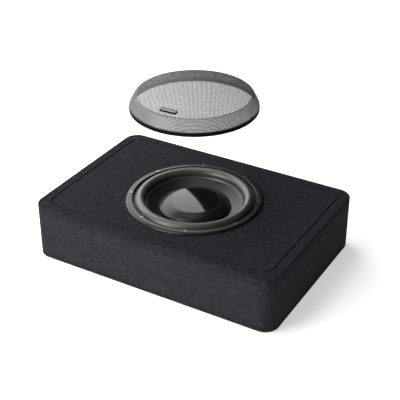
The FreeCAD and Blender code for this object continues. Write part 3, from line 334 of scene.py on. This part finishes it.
def make_surround():
    """Half roll between the fixed flange and the moving cone."""
    line = [(97.8, LID - 8.2), (99.0, LID - 7.2), (99.4, LID - 5.2), (100.3, LID - 4.1), (101.2, LID - 4.1),
            (101.8, LID - 5.2), (102.2, LID - 7.2), (102.8, LID - 7.2)]
    line = eased(line) + arc((ROLL_MIDDLE, LID - 2.0), ROLL_RADIUS, 190.0, 20.0, 34)
    line += [(125.1, LID + 0.6), (125.6, LID + 0.6)]
    bending_ring("surround", sheet(line, 0.9), "surround_rubber")


def make_spider():
    """Corrugated cloth disc between the basket's ledge and the voice coil former."""
    level = LID - 39.6
    line = [(32.5, level), (34.5, level)]
    steps = SPIDER_FOLDS * 12
    for step in range(steps + 1):
        radius = SPIDER_INSIDE + (SPIDER_OUTSIDE - SPIDER_INSIDE) * step / steps
        swing = SPIDER_SWING * math.sin(2 * math.pi * SPIDER_FOLDS * step / steps)
        line.append((radius, level + swing))
    line += [(81.5, level), (89.8, level)]
    bending_ring("spider", sheet(line, 0.5), "spider_cloth")


def make_tinsel_leads():
    """Two braided leads from the basket's wall to the underside of the cone."""
    path = eased([(-85.0, LID - 36.8), (-72.0, LID - 35.4), (-62.0, LID - 28.4)], 3)
    for number, y in enumerate((-8.0, 8.0)):
        loops = []
        for spot, (x, z) in enumerate(path):
            before = path[max(spot - 1, 0)]
            after = path[min(spot + 1, len(path) - 1)]
            length = math.dist(before, after)
            across = ((before[1] - after[1]) / length, (after[0] - before[0]) / length)
            loop = []
            for side in range(LEAD_SIDES):
                angle = 2 * math.pi * side / LEAD_SIDES
                out = LEAD_RADIUS * math.cos(angle)
                loop.append((x + across[0] * out, y + LEAD_RADIUS * math.sin(angle), z + across[1] * out))
            loops.append(loop)
        piece = add_piece("tinsel_lead_%d" % number, *stacked(loops), "braid", 60.0)
        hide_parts("tinsel_leads")
        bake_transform(piece)


def make_cone():
    """Pulp cone, satin dust cap and its gloss disc."""
    line = [(102.0, LID - 7.4), (76.0, LID - 18.0), (32.5, LID - 35.0)]
    fine = []
    for (r1, z1), (r2, z2) in zip(line, line[1:]):
        for step in range(8):
            share = step / 8
            sag = 0.35 * math.sin(math.pi * share)
            fine.append((r1 + (r2 - r1) * share, z1 + (z2 - z1) * share - sag))
    fine.append(line[-1])
    cone = add_piece("cone_paper", *turned(sheet(fine[::-1], 0.9), ROUND_STEPS), "cone_pulp")
    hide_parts("cone")
    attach(cone, "driver_cone")

    slope = [(DISC_EDGE + 0.15, LID - 4.25)]
    for step in range(13):
        share = step / 12
        radius = DISC_EDGE + 0.25 + (CAP_EDGE - 2.25 - DISC_EDGE) * share
        slope.append((radius, LID - 3.75 - 9.8 * share ** 1.45))
    slope += arc((CAP_EDGE - 2.4, LID - 16.0), 2.4, 55.0, -10.0, 6)
    slope.append((CAP_EDGE - 0.2, LID - 17.9))
    slope.append((CAP_EDGE - 1.6, LID - 18.2))
    cap = add_piece("dust_cap_shell", *turned(sheet(slope, 0.8), ROUND_STEPS), "cap_satin")
    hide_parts("dust_cap")
    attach(cap, "driver_cone")

    dome = [(0.0, LID - 1.4)]
    for step in range(1, 15):
        radius = (DISC_EDGE - 0.1) * step / 14
        dome.append((radius, LID - 1.4 - 2.35 * (radius / DISC_EDGE) ** 2))
    dome += [(DISC_EDGE, LID - 3.9), (DISC_EDGE, LID - 4.3), (0.0, LID - 4.3)]
    disc = add_piece("dust_cap_plate", *turned(dome, ROUND_STEPS), "cap_gloss")
    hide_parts("dust_cap_disc")
    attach(disc, "driver_cone")


# ---- grille ---------------------------------------------------------------------------------

CROWN = 242.7
CROWN_FALL = 2.2
SHOULDER = 115.5
SEAM_INSIDE = 112.9
SEAM_OUTSIDE = 115.0
MESH_PITCH = 2.9
MESH_HOLE = 1.0
MESH_THICK = 0.3
MESH_SUNK = 0.1
SKIRT_HOLE = 0.68
SKIRT_HOLES_ROUND = 268
SKIRT_START = 1.2
SEAM_STEPS = 480
BAND_INSIDE = 126.2
BAND_OUTSIDE = 129.4
BAND_ROUND = 0.7
BAND_LAP = 1.6


def crown(radius):
    """Height of the grille's top over the floor, in mm."""
    return LID + CROWN - CROWN_FALL * (radius / SHOULDER) ** 2


def skirt_line():
    """Outer face of the pressed sheet, from the seam round the top down to its bottom edge."""
    line = [(SEAM_INSIDE, crown(SEAM_INSIDE)), (SEAM_OUTSIDE, crown(SEAM_OUTSIDE))]
    line += eased([(SHOULDER, LID + 240.45), (118.4, LID + 239.6), (119.9, LID + 237.2),
                   (122.0, LID + 233.4)])
    line += eased([(124.6, LID + 228.7), (127.0, LID + 224.3), (128.2, LID + 221.6),
                   (128.9, LID + 218.6)])
    line.append((129.2, LID + 216.6))
    return line


def make_grille_seam():
    """Plain seam that joins the perforated top to the perforated skirt."""
    seam = add_piece("grille_seam", *turned(sheet(skirt_line()[:3], 0.5), SEAM_STEPS), "grille_sheet", 50.0)
    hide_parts("grille_cap")
    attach(seam, "grille")


def perforated(name, cells, hole, place):
    """A sheet of six-sided cells, each with its own hole. place(x, y, depth) gives a point on it."""
    verts = []
    faces = []
    known = {}
    rim = {}

    def spot(x, y, side):
        key = (round(x * 100), round(y * 100), side)
        if key not in known:
            known[key] = len(verts)
            verts.append(place(x, y, MESH_SUNK + (MESH_THICK if side else 0.0)))
        return known[key]

    turns = [math.radians(30 + 60 * side) for side in range(7)]
    ring = MESH_PITCH / math.sqrt(3)
    for x, y in cells:
        cell = [(x + ring * math.cos(a), y + ring * math.sin(a)) for a in turns]
        bore = [(x + hole * math.cos(a), y + hole * math.sin(a)) for a in turns]
        for k in range(6):
            top = [spot(*cell[k], 0), spot(*cell[k + 1], 0), spot(*bore[k + 1], 0), spot(*bore[k], 0)]
            low = [spot(*cell[k], 1), spot(*cell[k + 1], 1), spot(*bore[k + 1], 1), spot(*bore[k], 1)]
            faces.append(tuple(top))
            faces.append(tuple(low[::-1]))
            faces.append((top[3], top[2], low[2], low[3]))
            edge = frozenset(top[:2])
            rim[edge] = None if edge in rim else (top[0], low[0], low[1], top[1])
    faces += [wall for wall in rim.values() if wall]
    piece = add_piece(name, verts, faces, "grille_sheet", 60.0)
    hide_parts("grille_cap")
    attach(piece, "grille")


def make_grille_mesh():
    """Perforated crown inside the seam, and perforated skirt from the seam down to the black ring."""
    row = MESH_PITCH * math.sqrt(3) / 2
    reach = int(SHOULDER / row) + 1
    cells = [((i + 0.5 * (j % 2)) * MESH_PITCH, j * row)
             for j in range(-reach, reach + 1) for i in range(-reach - 8, reach + 9)]
    cells = [cell for cell in cells if math.hypot(*cell) < SEAM_INSIDE + 0.2]
    for name, half in (("grille_crown_left", [cell for cell in cells if cell[0] < 0]),
                       ("grille_crown_right", [cell for cell in cells if cell[0] >= 0])):
        perforated(name, half, MESH_HOLE, lambda x, y, depth: (x, y, crown(math.hypot(x, y)) - depth))

    line = skirt_line()[1:]
    runs = [0.0]
    for before, after in zip(line, line[1:]):
        runs.append(runs[-1] + math.dist(before, after))
    round_turn = SKIRT_HOLES_ROUND * MESH_PITCH

    def on_skirt(x, y, depth):
        along = min(max(y, 0.0), runs[-1])
        spot = max(k for k in range(len(runs) - 1) if runs[k] <= along)
        share = (along - runs[spot]) / (runs[spot + 1] - runs[spot])
        (r1, z1), (r2, z2) = line[spot], line[spot + 1]
        length = math.dist(line[spot], line[spot + 1])
        radius = r1 + (r2 - r1) * share + (z2 - z1) / length * depth
        z = z1 + (z2 - z1) * share - (r2 - r1) / length * depth
        angle = 2 * math.pi * x / round_turn
        return (radius * math.cos(angle), radius * math.sin(angle), z)

    rows = int((runs[-1] - SKIRT_START) / row)
    cells = [((i + 0.5 * (j % 2)) * MESH_PITCH, SKIRT_START + j * row)
             for j in range(rows + 1) for i in range(SKIRT_HOLES_ROUND)]
    perforated("grille_skirt", cells, SKIRT_HOLE, on_skirt)


def make_grille_ring():
    """Black ring that the grille clips on with, its edges rounded."""
    low, high = (corner.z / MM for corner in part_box("grille_ring"))
    bottom = low + BAND_ROUND
    top = high + BAND_LAP - BAND_ROUND
    near = BAND_INSIDE + BAND_ROUND
    far = BAND_OUTSIDE - BAND_ROUND
    outline = []
    for middle, start in (((far, top), 90.0), ((far, bottom), 0.0),
                          ((near, bottom), -90.0), ((near, top), -180.0)):
        outline += arc(middle, BAND_ROUND, start, start - 90.0, 4)
    ring = add_piece("grille_band", *turned(outline, ROUND_STEPS), "ring_plastic")
    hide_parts("grille_ring")
    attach(ring, "grille")


def make_badge():
    """Plain badge: a black frame round a bright satin field."""
    low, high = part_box("grille_badge")
    centre = ((low.x + high.x) / 2 / MM, (low.y + high.y) / 2 / MM)
    long = (high.x - low.x) / MM
    wide = (high.y - low.y) / MM
    top = high.z / MM
    frame_steps = ((0.0, 2.6), (0.0, 0.5), (0.4, 0.1), (0.9, 0.0), (1.7, 0.0), (2.0, 0.6))
    field_steps = ((1.95, 1.4), (1.95, 0.5), (2.2, 0.3), (3.6, 0.25))
    for name, steps, finish in (("badge_frame", frame_steps, "ring_plastic"),
                                ("badge_field", field_steps, "badge_chrome")):
        loops = []
        for inset, fall in steps:
            corner = max(3.5 - inset, 0.4)
            loops.append(rounded_loop(long - 2 * inset, wide - 2 * inset, corner, top - fall, centre))
        piece = add_piece(name, *stacked(loops), finish, 30.0)
        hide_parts("grille_badge")
        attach(piece, "grille")


# ---- controls -------------------------------------------------------------------------------

FLUTES = 12
POINTS_PER_FLUTE = 8


def make_knobs():
    """Fluted control knobs, each with a pale pointer line on its face."""
    for control in ("gain", "lowpass", "boost"):
        low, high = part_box(control + "_knob")
        front, back = low.x / MM, high.x / MM
        y, z = (low.y + high.y) / 2 / MM, (low.z + high.z) / 2 / MM
        reach = (high.z - low.z) / 2 / MM
        loops = []
        for x, radius, groove in ((back, reach, 0.0), (back - 1.4, reach, 0.0),
                                  (back - 1.6, reach - 0.5, 0.5), (front + 1.0, reach - 0.7, 0.5),
                                  (front + 0.3, reach - 1.0, 0.4), (front, reach - 1.6, 0.0),
                                  (front, reach - 3.4, 0.0), (front + 0.3, reach - 3.8, 0.0)):
            loop = []
            for step in range(FLUTES * POINTS_PER_FLUTE):
                angle = 2 * math.pi * step / (FLUTES * POINTS_PER_FLUTE)
                local = radius - groove * (0.5 - 0.5 * math.cos(FLUTES * angle))
                loop.append((x, y + local * math.cos(angle), z + local * math.sin(angle)))
            loops.append(loop)
        knob = add_piece(control + "_grip", *stacked(loops), "knob_plastic")
        line = []
        for x, inset in ((front + 0.5, 0.0), (front - 0.1, 0.0), (front - 0.2, 0.12)):
            loop = rounded_loop(1.0 - 2 * inset, 3.6 - 2 * inset, 0.4 - inset, 0.0, (0.0, 3.9))
            line.append([(x, y + across, z + up) for across, up, _ in loop])
        pointer = add_piece(control + "_pointer", *stacked(line), "lever_plastic")
        for piece in (knob, pointer):
            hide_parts(control + "_knob")
            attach(piece, control + "_control")


make_surround()
make_spider()
make_tinsel_leads()
make_cone()
make_grille_seam()
make_grille_mesh()
make_grille_ring()
make_badge()
make_knobs()

# ---- stage ----------------------------------------------------------------------------------

FLOOR_REACH = 9.0
FLOOR_GAP = 0.0002
WALL_CURVE = 4.0
WALL_TALL = 9.0


def make_stage():
    """Pale floor, wide enough to fill the view."""
    material = bpy.data.materials.new("floor_paper")
    material.use_nodes = True
    tree = material.node_tree
    shader = tree.nodes["Principled BSDF"]
    coords = tree.nodes.new("ShaderNodeTexCoord").outputs["Object"]
    tone = mixed(tree, "MIX", noise(tree, coords, 3.0, 2.0), (0.86, 0.86, 0.86), (0.9, 0.9, 0.9))
    tree.links.new(tone, shader.inputs["Base Color"])
    shader.inputs["Roughness"].default_value = 0.95
    shader.inputs["Specular IOR Level"].default_value = 0.1
    shader.inputs["Emission Color"].default_value = (1.0, 1.0, 1.0, 1.0)
    shader.inputs["Emission Strength"].default_value = 0.55
    reach = FLOOR_REACH
    low = -FLOOR_GAP
    mesh = bpy.data.meshes.new("floor")
    corners = [(-reach, -reach, low), (reach, -reach, low), (reach, reach, low), (-reach, reach, low)]
    mesh.from_pydata(corners, [], [(0, 1, 2, 3)])
    mesh.materials.append(material)
    floor = bpy.data.objects.new("floor", mesh)
    bpy.context.scene.collection.objects.link(floor)


def make_backdrop():
    """Pale wall that curves up from the floor's edge, seen past the object from low angles."""
    material = bpy.data.materials["floor_paper"]
    line = arc((FLOOR_REACH - WALL_CURVE, WALL_CURVE), WALL_CURVE, -90.0, 0.0, 24)
    line.append((FLOOR_REACH, WALL_TALL))
    steps = 96
    verts = []
    faces = []
    for radius, z in line:
        verts += [(radius * math.cos(2 * math.pi * k / steps), radius * math.sin(2 * math.pi * k / steps), z)
                  for k in range(steps)]
    for level in range(len(line) - 1):
        for k in range(steps):
            after = (k + 1) % steps
            faces.append((level * steps + k, level * steps + after,
                          (level + 1) * steps + after, (level + 1) * steps + k))
    mesh = bpy.data.meshes.new("backdrop")
    mesh.from_pydata(verts, [], faces)
    mesh.polygons.foreach_set("use_smooth", [True] * len(mesh.polygons))
    mesh.materials.append(material)
    backdrop = bpy.data.objects.new("backdrop", mesh)
    backdrop.visible_diffuse = False
    backdrop.visible_glossy = False
    bpy.context.scene.collection.objects.link(backdrop)


def aimed(thing, place, target):
    """Put a light or camera at place, looking at target."""
    thing.location = place
    thing.rotation_euler = (Vector(target) - Vector(place)).to_track_quat("-Z", "Y").to_euler()
    bpy.context.scene.collection.objects.link(thing)


def softbox(name, place, wide, tall, power):
    """Rectangular area light aimed at the object."""
    lamp = bpy.data.lights.new(name, "AREA")
    lamp.shape = "RECTANGLE"
    lamp.size = wide
    lamp.size_y = tall
    lamp.energy = power
    aimed(bpy.data.objects.new(name, lamp), place, (0.0, 0.0, 0.15))


make_stage()
make_backdrop()
softbox("key_left", (-1.35, 0.55, 0.95), 2.1, 1.5, 31.5)
softbox("front_left", (-0.95, -1.75, 1.0), 1.3, 1.5, 40.0)
softbox("overhead", (-0.35, 0.25, 2.0), 0.8, 0.8, 8.5)
softbox("overhead_front", (-0.60, -0.70, 1.75), 0.8, 0.8, 10.0)
world = bpy.data.worlds.new("studio")
world.use_nodes = True
world.node_tree.nodes["Background"].inputs["Color"].default_value = (0.03, 0.03, 0.031, 1.0)
bpy.context.scene.world = world
bpy.context.scene.view_settings.view_transform = "Standard"

camera = bpy.data.cameras.new("camera")
camera.sensor_width = 36.0
camera.lens = 88.4
eye = bpy.data.objects.new("camera", camera)
aimed(eye, (0.8964, -1.5194, 1.1765), (0.0127, 0.0002, 0.1226))
bpy.context.scene.camera = eye
